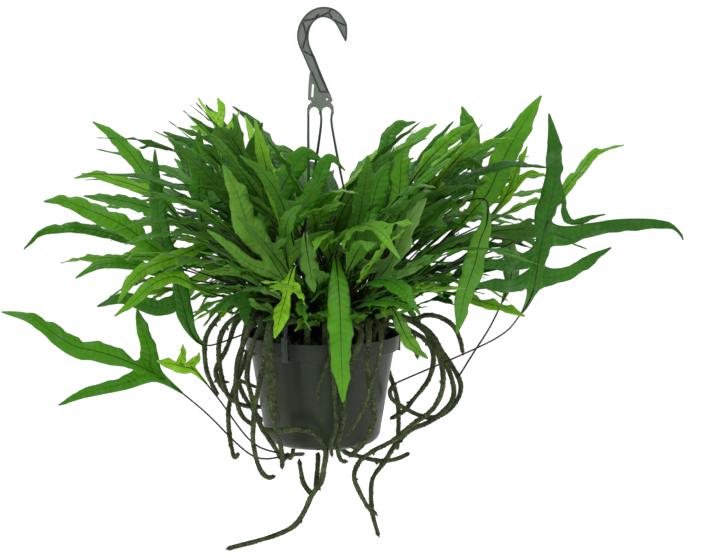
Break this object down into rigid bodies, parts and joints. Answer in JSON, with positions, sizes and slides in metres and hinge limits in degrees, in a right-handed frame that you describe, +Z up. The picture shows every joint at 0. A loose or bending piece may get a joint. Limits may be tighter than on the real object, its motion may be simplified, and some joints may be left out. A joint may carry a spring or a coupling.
{
  "type": "hanging potted fern",
  "caption": "Fern with lobed strap-like fronds and creeping stems that trail over the rim of a round pot, on a moulded hanger with a hook.",
  "frame": {"origin": "crown of the hook's inner arc, where the hanger rests on what carries it", "axes": "+Z up through the pot's axis, -Y towards the viewer of the picture, +X to that viewer's right"},
  "size_m": [0.8559, 0.593, 0.6966],
  "materials": {
    "frond": "satin green leaf",
    "rhizome": "scaly olive-brown stem",
    "pot_plastic": "matte, dusty dark green",
    "hanger_plastic": "smooth, slightly see-through grey-green",
    "growing_medium": "rough dark bark and peat"
  },
  "bodies": {
    "root": {"frond_clump_01": "frond", "frond_clump_02": "frond", "frond_clump_03": "frond", "frond_clump_04": "frond", "frond_clump_05": "frond", "frond_clump_06": "frond", "frond_clump_07": "frond", "frond_clump_08": "frond", "frond_clump_09": "frond", "frond_clump_10": "frond", "frond_clump_11": "frond", "frond_clump_12": "frond", "frond_clump_13": "frond", "frond_clump_14": "frond", "frond_clump_15": "frond", "frond_clump_16": "frond", "frond_clump_17": "frond", "frond_clump_18": "frond", "frond_clump_19": "frond", "frond_clump_20": "frond", "frond_clump_21": "frond", "frond_clump_22": "frond", "frond_clump_23": "frond", "frond_clump_24": "frond", "frond_clump_25": "frond", "frond_clump_26": "frond", "frond_clump_27": "frond", "frond_clump_28": "frond", "frond_clump_29": "frond", "frond_clump_30": "frond", "hanger": "hanger_plastic", "pot": "pot_plastic", "rhizome_01": "rhizome", "rhizome_02": "rhizome", "rhizome_03": "rhizome", "rhizome_04": "rhizome", "rhizome_05": "rhizome", "rhizome_06": "rhizome", "rhizome_07": "rhizome", "rhizome_08": "rhizome", "rhizome_09": "rhizome", "rhizome_10": "rhizome", "rhizome_11": "rhizome", "rhizome_12": "rhizome", "rhizome_13": "rhizome", "rhizome_14": "rhizome", "rhizome_15": "rhizome", "rhizome_16": "rhizome", "rhizome_17": "rhizome", "rhizome_18": "rhizome", "rhizome_19": "rhizome", "rhizome_20": "rhizome", "rhizome_21": "rhizome", "rhizome_22": "rhizome", "rhizome_23": "rhizome", "rhizome_24": "rhizome", "rhizome_25": "rhizome", "soil": "growing_medium"}
  },
  "joints": []
}
